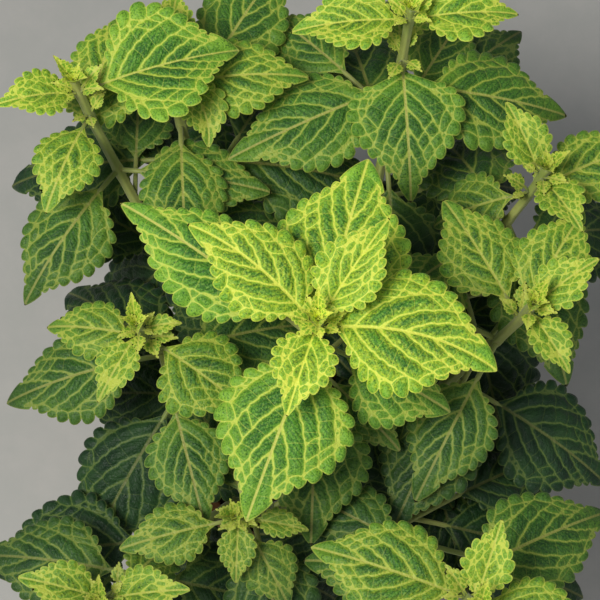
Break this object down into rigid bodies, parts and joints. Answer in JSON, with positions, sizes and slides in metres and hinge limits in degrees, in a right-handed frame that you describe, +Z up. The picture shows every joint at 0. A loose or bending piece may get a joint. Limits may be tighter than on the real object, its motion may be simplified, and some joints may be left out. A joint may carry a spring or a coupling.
{
  "type": "coleus in a pot",
  "caption": "Bushy potted coleus: lime-veined, scalloped green leaves in crossed opposite pairs on square stems, standing in a plain round clay pot.",
  "frame": {"origin": "centre of the pot's flat base, on the surface that it stands on", "axes": "+Z up along the pot's axis; +Y away from the viewer of the picture, +X to the viewer's right"},
  "size_m": [0.3336, 0.393, 0.3131],
  "materials": {
    "clay": "matte",
    "potting_mix": "matte",
    "leaf_green": "satin"
  },
  "bodies": {
    "root": {"pot": "clay", "soil": "potting_mix", "shoot_centre": "leaf_green", "shoot_back": "leaf_green", "shoot_back_left": "leaf_green", "shoot_left": "leaf_green", "shoot_front_left": "leaf_green", "shoot_front": "leaf_green", "shoot_front_right": "leaf_green", "shoot_right": "leaf_green", "shoot_back_right": "leaf_green", "shoot_back_centre": "leaf_green"}
  },
  "joints": []
}
